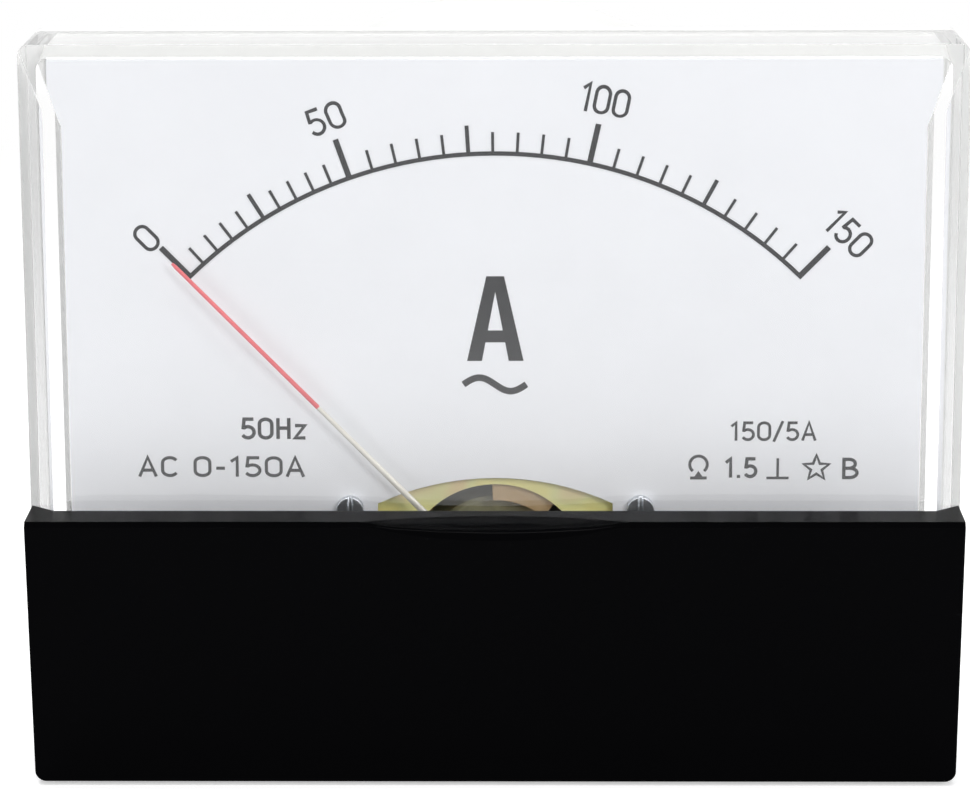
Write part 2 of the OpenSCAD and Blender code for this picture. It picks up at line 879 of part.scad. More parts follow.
module pivot_staffs() {
    y_tip_front = y_cup_front - cup_l + 0.3;
    y_tip_rear = y_cup_rear + cup_l - 0.3;
    color("lightsteelblue") at_pivot() {
        rod(collet_r, y_coil_front - collet_l - spring_w, y_coil_front);
        rod(staff_r, y_cup_front + jewel_gap / 2, y_coil_front);
        rod(tip_r, y_tip_front, y_coil_front);
        rod(collet_r, y_coil_rear, y_coil_rear + collet_l + spring_w);
        rod(staff_r, y_coil_rear, y_cup_rear - jewel_gap / 2);
        rod(tip_r, y_coil_rear, y_tip_rear);
    }
}

// Flat spiral from the collet out to the anchor, seen from the front
module hairspring(y0, end_angle) {
    r0 = collet_r + touch + spring_t / 2;
    r1 = post_at - post_pin_r - touch - spring_t / 2;
    steps = 24;
    n = spring_turns * steps;
    function at(i, off) =
        let (a = end_angle + 360 * i / steps, r = r0 + (r1 - r0) * i / n + off)
        [r * sin(a), r * cos(a)];
    slab(y0, y0 + spring_w) polygon(concat(
        [for (i = [0:n]) at(i, -spring_t / 2)],
        [for (i = [n:-1:0]) at(i, spring_t / 2)]
    ));
}

module front_hairspring() {
    color("orange") at_pivot() hairspring(y_spring_front, 180);
}

module rear_hairspring() {
    color("orange") at_pivot() hairspring(y_spring_rear, 0);
}

// Fixed arm under the rear lock nut that holds the outer end of the rear hairspring
module spring_anchor() {
    color("peru") at_pivot() union() {
        rod(post_pin_r, y_spring_rear, y_anchor_end - eps, 0, post_at);
        slab(y_rear_bridge + bridge_t, y_anchor_end) difference() {
            union() {
                circle(r = lever_ring_r);
                translate([-anchor_half_w, 0]) square([2 * anchor_half_w, post_at + post_pin_r]);
            }
            circle(r = jewel_r + touch);
        }
    }
}

module pointer_stops() {
    y_stop_end = y_ring + stop_sink;
    y_stop_front = y_needle - needle_t / 2 - 0.3;
    color("dimgray") at_pivot() for (s = [-1, 1]) clockwise(s * stop_angle)
        rod(stop_r, y_stop_front, y_stop_end, 0, stop_at);
}

module zero_lever() {
    arm_half = 1;
    slot_half = adjuster_pin_r + fork_clear;
    fork_end = fork_at + fork_past;
    color("goldenrod") at_pivot() union() {
        slab(y_lever, y_lever + lever_t) difference() {
            union() {
                circle(r = lever_ring_r);
                translate([-arm_half, -fork_at]) square([2 * arm_half, fork_at]);
                translate([-fork_half_w, -fork_end]) square([2 * fork_half_w, 2 * fork_past + 1]);
            }
            circle(r = jewel_r + run);
            translate([-slot_half, -fork_end - 1]) square([2 * slot_half, 2 * fork_past + 1]);
        }
        rod(post_pin_r, y_lever + eps, y_spring_front + spring_w, 0, -post_at);
    }
}

module zero_adjuster() {
    y_clip = y_window_in + clip_t;
    slot_w = 0.8;
    color("black") translate([0, 0, adjuster_z]) union() {
        difference() {
            rod(adjuster_head_r, y_window + adjuster_sink - adjuster_head_t, y_window + adjuster_sink);
            translate([0, y_window + adjuster_sink - adjuster_head_t, 0])
                cube([adjuster_head_r * 2 + 1, 1, slot_w], center = true);
        }
        rod(adjuster_shank_r, y_window + adjuster_sink - eps, y_clip);
        rod(adjuster_pin_r, y_clip - eps, y_lever + lever_t, 0, -adjuster_throw);
    }
}

module adjuster_clip() {
    color("silver") translate([0, 0, adjuster_z]) slab(y_window_in, y_window_in + clip_t) difference() {
        circle(r = clip_r);
        circle(r = adjuster_shank_r + run);
        translate([0, clip_r]) square([2.4, 2 * clip_r], center = true);
    }
}

module at_ct() {
    translate([0, 0, ct_rise]) children();
}

module ct_core() {
    color("slategray") at_ct() slab(y_ct, y_ct_end) difference() {
        square([ct_w, ct_h], center = true);
        for (sx = [-1, 1])
            translate([sx * (ct_limb_w + ct_window_w) / 2, 0])
                square([ct_window_w, ct_window_h], center = true);
    }
}

// Square tube around the centre limb, given by its gap and wall
module limb_tube(gap, t, h) {
    w = ct_limb_w + 2 * gap;
    d = ct_stack + 2 * gap;
    y_mid = (y_ct + y_ct_end) / 2;
    at_ct() translate([0, y_mid, 0]) difference() {
        cube([w + 2 * t, d + 2 * t, h], center = true);
        cube([w, d, h + 1], center = true);
    }
}

module ct_bobbin() {
    h = ct_window_h - 2 * bobbin_gap;
    color("beige") union() {
        limb_tube(bobbin_gap, bobbin_t, h);
        for (s = [-1, 1])
            translate([0, 0, s * (h - bobbin_t) / 2])
                limb_tube(bobbin_gap, bobbin_t + secondary_t + primary_t, bobbin_t);
    }
}

module ct_secondary() {
    h = ct_window_h - 2 * bobbin_gap - 2 * bobbin_t;
    color("orangered") limb_tube(bobbin_gap + bobbin_t, secondary_t, h);
}

module ct_primary() {
    turns = 4;
    gap = bobbin_gap + bobbin_t + secondary_t;
    color("sienna") union() {
        limb_tube(gap, primary_t / 2, turn_pitch * (turns - 1) + turn_wire);
        for (i = [0:turns - 1])
            translate([0, 0, turn_pitch * (i - (turns - 1) / 2)]) limb_tube(gap, primary_t, turn_wire);
    }
}

module ct_bracket() {
    reach = ct_w / 2 + ct_foot;
    inner = ct_w / 2;
    color("silver") at_ct() difference() {
        union() {
            for (s = [-1, 1]) {
                translate([s > 0 ? inner : -inner - strap_t, y_ct - strap_t, -strap_w / 2])
                    cube([strap_t, y_ct_end - y_ct + strap_t, strap_w]);
                translate([s > 0 ? inner : -reach, y_ct_end - strap_t, -strap_w / 2])
                    cube([ct_foot, strap_t, strap_w]);
                translate([s > 0 ? inner - ct_hook : -inner - strap_t, y_ct - strap_t, -strap_w / 2])
                    cube([ct_hook + strap_t, strap_t, strap_w]);
            }
        }
        for (s = [-1, 1])
            rod(frame_hole_r + 0.15, y_ct_end - 2 * strap_t, y_ct_end + eps, s * (inner + ct_foot / 2), 0);
    }
}

module ct_screws() {
    color("silver") ct_places()
        slotted_screw(0, 0, y_ct_end - strap_t, ct_head_r, ct_head_t, frame_hole_r, strap_t + ct_screw_l);
}

module rectifier_board() {
    color("tan") translate([0, 0, board_rise]) slab(y_board, y_board + board_t) difference() {
        square([board_w, board_h], center = true);
        for (sx = [-1, 1])
            translate([sx * board_post_x, board_post_z - board_rise]) circle(r = small_screw_r + 0.1);
    }
}

// Part with a round body and two leads bent into the board
module axial_part(r, l, lead_out) {
    lift = r + 0.4;
    reach = l / 2 + lead_out;
    union() {
        translate([-reach, y_board - lift - wire_r, -wire_r]) cube([2 * reach, 2 * wire_r, 2 * wire_r]);
        for (s = [-1, 1])
            translate([s * (reach - wire_r) - wire_r, y_board - lift - wire_r, -wire_r])
                cube([2 * wire_r, lift + wire_r, 2 * wire_r]);
        translate([-l / 2, y_board - lift, 0]) rotate([0, 90, 0]) cylinder(r = r, h = l, $fn = 48);
    }
}

module diodes() {
    color("darkslategray") for (i = [0:3])
        translate([diode_x, 0, board_rise + diode_pitch * (i - 1.5)]) axial_part(diode_r, diode_l, wire_out);
}

module calibration_resistor() {
    color("olivedrab") translate([resistor_x, 0, board_rise + resistor_rise])
        axial_part(resistor_r, resistor_l, wire_out);
}

module board_screws() {
    color("silver") board_places()
        slotted_screw(0, 0, y_board, small_head_r, small_head_t, small_screw_r, board_t + board_screw_l);
}

module terminal_studs() {
    color("darkgoldenrod") terminal_places() union() {
        hex_bar(terminal_r * 1.8, y_back_in - terminal_head_t, y_back_in);
        rod(terminal_r, y_back_in - eps, y_terminal_free);
        rod(terminal_r - 0.3, y_terminal_free - eps, y_terminal_free + neck_l + eps);
        rod(terminal_r, y_terminal_free + neck_l, barrel_l + terminal_l);
    }
}

module terminal_washers() {
    y0 = barrel_l + terminal_boss_t;
    color("gold") terminal_places() difference() {
        rod(terminal_r * 2, y0, y0 + washer_t);
        rod(terminal_r + 0.2, y0 - eps, y0 + washer_t + eps);
    }
}

module terminal_nuts() {
    y0 = barrel_l + terminal_boss_t + washer_t;
    color("gold") terminal_places() difference() {
        hex_bar(terminal_r * 1.85, y0, y0 + terminal_nut_t);
        rod(terminal_r + touch, y0 - eps, y0 + terminal_nut_t + eps);
    }
}

// Flat copper strips from the stud heads up to the primary winding
module primary_leads() {
    strip_t = 1;
    strip_w = 4;
    y0 = y_back_in - terminal_head_t - strip_t;
    x0 = ct_limb_w / 2 + coil_build;
    z0 = terminal_z - strip_w / 2;
    color("sienna") for (s = [0, 1]) mirror([s, 0, 0]) union() {
        translate([x0, y0, z0]) cube([terminal_x + strip_w / 2 - x0, strip_t, strip_w]);
        translate([x0, y0, z0]) cube([strip_w, strip_t, ct_rise - z0]);
    }
}

// Thin leads from the back of the board down to the ends of the rear bridge
module signal_leads() {
    lead_r = 0.5;
    bend_r = lead_r * 1.2;
    x_lead = ring_mid_r - 3;
    y_board_back = y_board + board_t;
    y_run = y_board_back + 1.1;
    z_lead = board_rise - board_h / 2 + 2;
    color("firebrick") for (sx = [-1, 1]) union() {
        rod(lead_r, y_board_back, y_run, sx * x_lead, z_lead);
        translate([sx * x_lead, y_run, z_lead]) sphere(r = bend_r);
        translate([sx * x_lead, y_run, pivot_z]) cylinder(r = lead_r, h = z_lead - pivot_z);
        translate([sx * x_lead, y_run, pivot_z]) sphere(r = bend_r);
        rod(lead_r, y_rear_bridge + bridge_t, y_run, sx * x_lead, pivot_z);
    }
}

rear_case();
clear_cover();
trim_cover();
cover_screws();
mounting_studs();
dial_plate();
dial_scale();
dial_posts();
dial_screws();
pointer();
balance_weights();
yoke_ring();
core_magnet();
core_spacers();
movement_frame();
movement_screws();
front_bridge();
rear_bridge();
bridge_pillars();
bridge_screws();
jewel_screws();
jewel_nuts();
coil_former();
coil_winding();
pivot_staffs();
front_hairspring();
rear_hairspring();
spring_anchor();
pointer_stops();
zero_lever();
zero_adjuster();
adjuster_clip();
ct_core();
ct_bobbin();
ct_secondary();
ct_primary();
ct_bracket();
ct_screws();
rectifier_board();
diodes();
calibration_resistor();
board_screws();
terminal_studs();
terminal_washers();
terminal_nuts();
primary_leads();
signal_leads();
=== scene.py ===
import math
import bpy
import bmesh
from mathutils import Matrix, Vector


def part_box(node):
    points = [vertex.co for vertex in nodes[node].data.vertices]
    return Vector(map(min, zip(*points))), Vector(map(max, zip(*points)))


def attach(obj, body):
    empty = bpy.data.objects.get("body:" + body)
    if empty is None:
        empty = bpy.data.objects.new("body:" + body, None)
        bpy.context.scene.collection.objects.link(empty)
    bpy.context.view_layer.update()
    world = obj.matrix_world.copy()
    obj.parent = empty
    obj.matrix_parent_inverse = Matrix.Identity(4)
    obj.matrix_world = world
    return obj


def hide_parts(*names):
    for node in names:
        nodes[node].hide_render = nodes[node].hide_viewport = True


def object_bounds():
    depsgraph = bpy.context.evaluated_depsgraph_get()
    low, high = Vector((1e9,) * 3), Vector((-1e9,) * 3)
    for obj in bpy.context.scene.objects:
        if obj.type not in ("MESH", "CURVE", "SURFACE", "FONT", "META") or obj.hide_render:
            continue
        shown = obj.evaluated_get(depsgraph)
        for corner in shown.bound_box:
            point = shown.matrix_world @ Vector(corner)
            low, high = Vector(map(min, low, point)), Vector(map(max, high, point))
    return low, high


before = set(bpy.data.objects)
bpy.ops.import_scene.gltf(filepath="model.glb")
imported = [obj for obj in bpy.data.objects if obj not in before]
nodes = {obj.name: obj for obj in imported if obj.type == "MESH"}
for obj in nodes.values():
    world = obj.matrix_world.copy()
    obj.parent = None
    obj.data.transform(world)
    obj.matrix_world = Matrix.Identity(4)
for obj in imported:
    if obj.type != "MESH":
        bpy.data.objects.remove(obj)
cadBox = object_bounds()
mm = 0.001
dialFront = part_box("dial_plate")[0].y
pivot = Vector((0.0, 0.0, (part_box("core_magnet")[0].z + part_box("core_magnet")[1].z) / 2))
print("frame loaded:", len(nodes), "nodes")


def toLinear(code):
    channels = [int(code[i:i + 2], 16) / 255 for i in (0, 2, 4)]
    return tuple(c / 12.92 if c <= 0.04045 else ((c + 0.055) / 1.055) ** 2.4 for c in channels) + (1.0,)


def addNode(tree, kind, values=None, links=None, **settings):
    node = tree.nodes.new(kind)
    for key, value in settings.items():
        setattr(node, key, value)
    for key, value in (values or {}).items():
        node.inputs[key].default_value = value
    for key, source in (links or {}).items():
        tree.links.new(source, node.inputs[key])
    return node


cameraView = {
    "aim": (-1.035, -12.0, 2.05),   # mm, a point just left of the middle of the face
    "distance": 402.6,
    "azimuth": 0.675,
    "elevation": 13.16,
    "roll": -0.163,
    "lens": 139.28,
}


def makeCamera(v):
    el, az, roll = (math.radians(v[k]) for k in ("elevation", "azimuth", "roll"))
    back = Vector((math.sin(az) * math.cos(el), -math.cos(az) * math.cos(el), math.sin(el)))
    side = (-back).cross(Vector((0, 0, 1))).normalized()
    up = side.cross(-back)
    right = side * math.cos(roll) + up * math.sin(roll)
    top = up * math.cos(roll) - side * math.sin(roll)
    place = (Vector(v["aim"]) + back * v["distance"]) * mm
    data = bpy.data.cameras.new("camera")
    data.lens, data.sensor_width = v["lens"], 36.0
    data.clip_start, data.clip_end = 0.01, 20.0
    camera = bpy.data.objects.new("camera", data)
    camera.matrix_world = Matrix((
        (right.x, top.x, back.x, place.x),
        (right.y, top.y, back.y, place.y),
        (right.z, top.z, back.z, place.z),
        (0, 0, 0, 1)))
    bpy.context.scene.collection.objects.link(camera)
    bpy.context.scene.camera = camera


stage = {
    "floorGap": 0.1,        # mm between the lowest point and the floor
    "floorSize": 2400,
    "floorColour": "E9EAEC",
    "floorGlow": 0.45,      # the floor's own white as seen. The rest is lit and keeps the shadow
    "floorShade": 1.0,
    "sweepFrom": 150,       # mm from the part, where the lit floor begins to pass into plain white
    "sweepTo": 420,
    "worldColour": "FBFCFF",
    "worldLight": 0.27,
    # name: (x, y, z in mm), (width, height in mm), power in W
    "lamps": {
        "keyLamp": ((380, -760, 330), (320, 320), 2.85),
        "fillLamp": ((-620, -600, 130), (420, 420), 1.65),
        "topStrip": ((0, -330, 620), (600, 60), 1.5),
        "backLamp": ((-60, 300, 680), (460, 460), 3.0),
    },
}


def anyOf(tree, rays):
    # 1 where the light path is any of the named kinds of ray
    path = addNode(tree, "ShaderNodeLightPath")
    found = path.outputs[rays[0]]
    for ray in rays[1:]:
        either = addNode(tree, "ShaderNodeMath", links={0: found, 1: path.outputs[ray]}, operation="MAXIMUM")
        found = either.outputs[0]
    return found


seenBy = ("Is Camera Ray", "Is Glossy Ray", "Is Transmission Ray")
white = (1, 1, 1, 1)


def makeStage(s):
    scene = bpy.context.scene
    scene.view_settings.view_transform = "Standard"
    world = bpy.data.worlds.new("studio")
    scene.world = world
    world.use_nodes = True
    tree = world.node_tree
    tree.nodes.clear()
    seen = anyOf(tree, seenBy)
    backdrop = addNode(tree, "ShaderNodeBackground", {"Color": white, "Strength": 1.0})
    light = addNode(tree, "ShaderNodeBackground",
                    {"Color": toLinear(s["worldColour"]), "Strength": s["worldLight"]})
    mix = addNode(tree, "ShaderNodeMixShader", links={0: seen, 1: light.outputs[0], 2: backdrop.outputs[0]})
    addNode(tree, "ShaderNodeOutputWorld", links={"Surface": mix.outputs[0]})

    for name, (place, size, power) in s["lamps"].items():
        data = bpy.data.lights.new(name, "AREA")
        data.shape, data.energy = "RECTANGLE", power
        data.size, data.size_y = size[0] * mm, size[1] * mm
        lamp = bpy.data.objects.new(name, data)
        lamp.location = Vector(place) * mm
        lamp.rotation_mode = "QUATERNION"
        lamp.rotation_quaternion = (Vector((0, 0, 0)) - lamp.location).to_track_quat("-Z", "Y")
        scene.collection.objects.link(lamp)

    half, z = s["floorSize"] / 2 * mm, cadBox[0].z - s["floorGap"] * mm
    corners = [(-half, -half, z), (half, -half, z), (half, half, z), (-half, half, z)]
    mesh = bpy.data.meshes.new("floor")
    mesh.from_pydata(corners, [], [(0, 1, 2, 3)])
    floor = bpy.data.objects.new("floor", mesh)
    scene.collection.objects.link(floor)
    paper = bpy.data.materials.new("whiteSweepPaper")   # matt paper, no texture seen at this distance
    paper.use_nodes = True
    tree = paper.node_tree
    tree.nodes.clear()
    seen = anyOf(tree, seenBy)
    plain = addNode(tree, "ShaderNodeBsdfDiffuse", {"Color": toLinear(s["floorColour"])})
    shade = addNode(tree, "ShaderNodeBsdfDiffuse", {"Color": (s["floorShade"],) * 3 + (1,)})
    glow = addNode(tree, "ShaderNodeEmission", {"Color": white, "Strength": s["floorGlow"]})
    near = addNode(tree, "ShaderNodeAddShader", links={0: shade.outputs[0], 1: glow.outputs[0]})
    far = addNode(tree, "ShaderNodeEmission", {"Color": white, "Strength": 1.0})
    place = addNode(tree, "ShaderNodeTexCoord").outputs["Object"]
    away = addNode(tree, "ShaderNodeVectorMath", links={0: place}, operation="LENGTH")
    sweep = addNode(tree, "ShaderNodeMapRange",
                    {"From Min": s["sweepFrom"] * mm, "From Max": s["sweepTo"] * mm},
                    {"Value": away.outputs["Value"]}, interpolation_type="SMOOTHSTEP")
    look = addNode(tree, "ShaderNodeMixShader",
                   links={0: sweep.outputs[0], 1: near.outputs[0], 2: far.outputs[0]})
    mix = addNode(tree, "ShaderNodeMixShader", links={0: seen, 1: plain.outputs[0], 2: look.outputs[0]})
    addNode(tree, "ShaderNodeOutputMaterial", links={"Surface": mix.outputs[0]})
    mesh.materials.append(paper)


makeCamera(cameraView)
makeStage(stage)
print("camera, lamps and floor placed")


def startMaterial(name, colour, roughness, metallic=0.0, **sockets):
    material = bpy.data.materials.new(name)
    material.use_nodes = True
    tree = material.node_tree
    tree.nodes.clear()
    values = {"Base Color": toLinear(colour), "Roughness": roughness, "Metallic": metallic}
    values.update(sockets)
    shader = addNode(tree, "ShaderNodeBsdfPrincipled", values)
    addNode(tree, "ShaderNodeOutputMaterial", links={"Surface": shader.outputs[0]})
    place = addNode(tree, "ShaderNodeTexCoord").outputs["Object"]
    return material, tree, shader, place


# A worked surface: patches of two near colours, roughness that wanders, and a grain of a real depth.
# Sizes are in millimetres, and stretch makes the grain long along an axis, as brushing or drawing does.
def workSurface(tree, shader, place, colours, patchMm, roughness, grainMm, depthMm, stretch=(1, 1, 1)):
    patch = addNode(tree, "ShaderNodeTexNoise", {"Scale": 1000 / patchMm, "Detail": 3.0, "Roughness": 0.55},
                    {"Vector": place})
    blend = addNode(tree, "ShaderNodeMapRange", {"From Min": 0.32, "From Max": 0.68},
                    {"Value": patch.outputs["Fac"]})
    ramp = addNode(tree, "ShaderNodeValToRGB", links={"Fac": blend.outputs[0]})
    ramp.color_ramp.elements[0].color = toLinear(colours[0])
    ramp.color_ramp.elements[1].color = toLinear(colours[1])
    tree.links.new(ramp.outputs["Color"], shader.inputs["Base Color"])
    long = addNode(tree, "ShaderNodeMapping", {"Scale": tuple(1 / s for s in stretch)}, {"Vector": place})
    grain = addNode(tree, "ShaderNodeTexNoise", {"Scale": 1000 / grainMm, "Detail": 2.0, "Roughness": 0.6},
                    {"Vector": long.outputs[0]})
    rough = addNode(tree, "ShaderNodeMapRange", {"To Min": roughness[0], "To Max": roughness[1]},
                    {"Value": grain.outputs["Fac"]})
    tree.links.new(rough.outputs[0], shader.inputs["Roughness"])
    bump = addNode(tree, "ShaderNodeBump", {"Strength": 1.0, "Distance": depthMm * mm},
                   {"Height": grain.outputs["Fac"]})
    tree.links.new(bump.outputs[0], shader.inputs["Normal"])


# colour pair, patch mm, roughness from and to, grain mm, grain depth mm, stretch, metallic, extra sockets
finishes = {
    # ABS, moulded in white: a dull soft sheen and an even, very fine spark-eroded skin
    "whiteAbs": ("F3F3F1", "F0F0EE", 9.0, (0.34, 0.48), 0.22, 0.004, (1, 1, 1), 0.0, {"IOR": 1.53}),
    # Steel with bright zinc plate: cool grey, slightly cloudy
    "zincPlatedSteel": ("C9CCD0", "B4B8BE", 1.4, (0.22, 0.38), 0.12, 0.002, (1, 1, 1), 1.0, {}),
    # Turned brass: warm yellow, with fine tool lines across the bar
    "turnedBrass": ("D2B478", "C2A062", 2.0, (0.2, 0.36), 0.1, 0.003, (1, 0.35, 1), 1.0, {}),
    # Brass left as cast and dulled with age: tan, with hardly a reflection
    "dullBrass": ("CDB288", "BFA275", 2.0, (0.5, 0.65), 0.15, 0.004, (1, 1, 1), 0.35, {}),
    # Aluminium coil former under insulating varnish: warm tan, even and dull
    "varnishedFormer": ("C4AA80", "B79C70", 1.5, (0.45, 0.6), 0.12, 0.002, (1, 1, 1), 0.1, {}),
    # Rolled phosphor bronze strip: red-brown, drawn bright
    "bronzeStrip": ("C08A55", "AE7842", 1.5, (0.24, 0.4), 0.08, 0.001, (3, 3, 1), 1.0, {}),
    # Drawn aluminium tube under clear lacquer: pale, creamy and even, with little dark reflection
    "lacqueredTube": ("E6E3DA", "DEDACF", 3.0, (0.42, 0.55), 0.1, 0.001, (1, 1, 6), 0.35, {}),
    # Magnet alloy, ground: dark grey-green with a coarse crystalline grain
    "groundMagnet": ("9C9C7C", "87886C", 0.9, (0.45, 0.65), 0.18, 0.006, (1, 1, 1), 0.2, {}),
    # Nylon bobbin, moulded in natural: milky, waxy sheen
    "naturalNylon": ("E6DFC9", "DED6BC", 4.0, (0.36, 0.5), 0.3, 0.003, (1, 1, 1), 0.0, {"IOR": 1.53}),
    # Paper-phenolic board: tan, with the fibres of the paper showing
    "phenolicBoard": ("B98A4F", "A3763F", 1.2, (0.4, 0.58), 0.35, 0.004, (5, 1, 1), 0.0, {"IOR": 1.55}),
    # Epoxy-moulded diode: near black, satin
    "epoxyBody": ("23252A", "191A1E", 1.0, (0.32, 0.46), 0.1, 0.002, (1, 1, 1), 0.0, {}),
    # Cement-coated resistor: dull green, slightly lumpy
    "resistorCoat": ("6F7F52", "617245", 1.5, (0.42, 0.6), 0.3, 0.012, (1, 1, 1), 0.0, {}),
    # PVC lead cover: red, smooth
    "pvcCover": ("A9241F", "981C18", 3.0, (0.3, 0.4), 0.2, 0.001, (1, 1, 1), 0.0, {}),
    # Copper bar, drawn and lightly dulled
    "drawnCopper": ("C98358", "B26C43", 2.2, (0.28, 0.46), 0.12, 0.002, (1, 1, 6), 1.0, {}),
}
made = {}
for name, (first, second, patchMm, roughness, *grain, metallic, extra) in finishes.items():
    material, tree, shader, place = startMaterial(name, first, roughness[0], metallic, **extra)
    workSurface(tree, shader, place, (first, second), patchMm, roughness, *grain)
    made[name] = material


def clearPolystyrene():
    # Crystal polystyrene, polished mould: water-clear, with a slow ripple from the flow of the moulding.
    # Light for what lies behind it passes straight through, so that the dial is lit as if it were bare.
    rippleMm, rippleDepthMm = 24.0, 0.02
    material, tree, shader, place = startMaterial(
        "clearPolystyrene", "FDFDFD", 0.015, 0.0,
        **{"IOR": 1.49, "Specular IOR Level": 0.2, "Transmission Weight": 1.0})
    ripple = addNode(tree, "ShaderNodeTexNoise", {"Scale": 1000 / rippleMm, "Detail": 1.0}, {"Vector": place})
    bump = addNode(tree, "ShaderNodeBump", {"Strength": 0.6, "Distance": rippleDepthMm * mm},
                   {"Height": ripple.outputs["Fac"]})
    tree.links.new(bump.outputs[0], shader.inputs["Normal"])
    lighting = anyOf(tree, ("Is Shadow Ray", "Is Diffuse Ray"))
    through = addNode(tree, "ShaderNodeBsdfTransparent", {"Color": toLinear("FCFCFC")})
    mix = addNode(tree, "ShaderNodeMixShader",
                  links={0: lighting, 1: shader.outputs[0], 2: through.outputs[0]})
    tree.links.new(mix.outputs[0], tree.nodes["Material Output"].inputs["Surface"])
    return material


def blackTrimPlastic():
    # Black polystyrene, polished in front and spark-eroded on top: deep gloss, with a grey bloom on the ledge
    grainMm, grainDepthMm = 0.25, 0.002
    material, tree, shader, place = startMaterial(
        "blackTrimPlastic", "020203", 0.1, 0.0, **{"IOR": 1.49, "Specular IOR Level": 0.018})
    normal = addNode(tree, "ShaderNodeTexCoord").outputs["Normal"]
    parts = addNode(tree, "ShaderNodeSeparateXYZ", links={0: normal})
    ledge = addNode(tree, "ShaderNodeMapRange", {"From Min": 0.985, "From Max": 0.999},
                    {"Value": parts.outputs["Z"]})
    grain = addNode(tree, "ShaderNodeTexNoise", {"Scale": 1000 / grainMm, "Detail": 2.0}, {"Vector": place})
    wander = addNode(tree, "ShaderNodeMapRange", {"To Min": 0.07, "To Max": 0.13},
                     {"Value": grain.outputs["Fac"]})
    rough = addNode(tree, "ShaderNodeMix", {3: 0.24}, {0: ledge.outputs[0], 2: wander.outputs[0]},
                    data_type="FLOAT")
    tree.links.new(rough.outputs[0], shader.inputs["Roughness"])
    bump = addNode(tree, "ShaderNodeBump", {"Strength": 0.5, "Distance": grainDepthMm * mm},
                   {"Height": grain.outputs["Fac"]})
    tree.links.new(bump.outputs[0], shader.inputs["Normal"])
    return material


def stovedEnamel():
    # White stoved enamel on aluminium sheet: cool white, a faint orange-peel skin and a soft sheen
    material, tree, shader, place = startMaterial("stovedEnamel", "EEEFF2", 0.5, 0.0, **{"IOR": 1.5})
    workSurface(tree, shader, place, ("EFF0F3", "ECEDF0"), 14.0, (0.42, 0.55), 0.5, 0.003)
    return material


def screenInk():
    # Screen-printed dial ink: dark grey, matt, with the slight thin spots of a printed film
    material, tree, shader, place = startMaterial(
        "screenInk", "1A1B1F", 0.7, 0.0, **{"Specular IOR Level": 0.2})
    workSurface(tree, shader, place, ("18191C", "222327"), 0.6, (0.6, 0.75), 0.15, 0.002)
    return material


def yellowChromate():
    # Zinc plate passivated yellow: brassy green-gold, with a pink and olive bloom over a few millimetres
    bloomMm = 4.5
    material, tree, shader, place = startMaterial("yellowChromate", "F6ECA0", 0.45, 0.05)
    workSurface(tree, shader, place, ("F6ECA0", "ECDF8A"), 3.0, (0.42, 0.6), 0.15, 0.003)
    film = addNode(tree, "ShaderNodeTexNoise", {"Scale": 1000 / bloomMm, "Detail": 1.0}, {"Vector": place})
    ramp = addNode(tree, "ShaderNodeValToRGB", links={"Fac": film.outputs["Fac"]})
    first, last = ramp.color_ramp.elements
    first.position, first.color = 0.35, toLinear("F7EF9C")
    last.position, last.color = 0.7, toLinear("EFD8A0")
    middle = ramp.color_ramp.elements.new(0.52)
    middle.color = toLinear("F0EEA8")
    tree.links.new(ramp.outputs["Color"], shader.inputs["Base Color"])
    return material


waveTurn = 2 * math.pi / 20     # metres between two bands of the wave node at a scale of one


def woundCopper(name, wireMm, coarser, axis, colours):
    # Enamelled copper wire wound side by side: rows of round wire, each catching its own line of light.
    # Wire too fine to show is drawn coarser than it is, by the factor given.
    material, tree, shader, place = startMaterial(name, colours[0], 0.3, 0.75)
    workSurface(tree, shader, place, colours, 1.2, (0.24, 0.4), 0.2, 0.001)
    scale = waveTurn * 1000 / (wireMm * coarser)
    wires = addNode(tree, "ShaderNodeTexWave", {"Scale": scale, "Distortion": 0.4, "Detail": 1.0},
                    {"Vector": place}, wave_type="BANDS", bands_direction=axis, wave_profile="SIN")
    bump = addNode(tree, "ShaderNodeBump", {"Strength": 1.0, "Distance": wireMm * 0.3 * mm},
                   {"Height": wires.outputs["Fac"]})
    tree.links.new(bump.outputs[0], shader.inputs["Normal"])
    return material


def siliconSteel():
    # Stamped silicon-steel sheets, stacked: blue-grey edges with a thin dark line between each two
    sheetMm, grooveMm = 0.5, 0.06
    material, tree, shader, place = startMaterial("siliconSteel", "7C8085", 0.45, 0.9)
    workSurface(tree, shader, place, ("83878C", "6E7277"), 2.0, (0.38, 0.55), 0.2, 0.002)
    sheets = addNode(tree, "ShaderNodeTexWave", {"Scale": waveTurn * 1000 / sheetMm}, {"Vector": place},
                     wave_type="BANDS", bands_direction="Y", wave_profile="SIN")
    bump = addNode(tree, "ShaderNodeBump", {"Strength": 1.0, "Distance": grooveMm * mm},
                   {"Height": sheets.outputs["Fac"]})
    tree.links.new(bump.outputs[0], shader.inputs["Normal"])
    return material


def pointerPaint(name, first, second, roughness):
    # Brushed-on lacquer over the aluminium tube: bright, slightly uneven in cover
    material, tree, shader, place = startMaterial(name, first, roughness)
    workSurface(tree, shader, place, (first, second), 1.5, (roughness, roughness + 0.12), 0.2, 0.002)
    return material


made["clearPolystyrene"] = clearPolystyrene()
made["blackTrimPlastic"] = blackTrimPlastic()
made["stovedEnamel"] = stovedEnamel()
made["screenInk"] = screenInk()
made["yellowChromate"] = yellowChromate()
made["coilWire"] = woundCopper("coilWire", 0.12, 6, "Z", ("B56A3C", "A55A30"))
made["secondaryWire"] = woundCopper("secondaryWire", 0.3, 1, "Z", ("B8522C", "A64424"))
made["siliconSteel"] = siliconSteel()
made["redPointerPaint"] = pointerPaint("redPointerPaint", "E9686E", "E25E65", 0.4)
print("finishes made:", len(made))


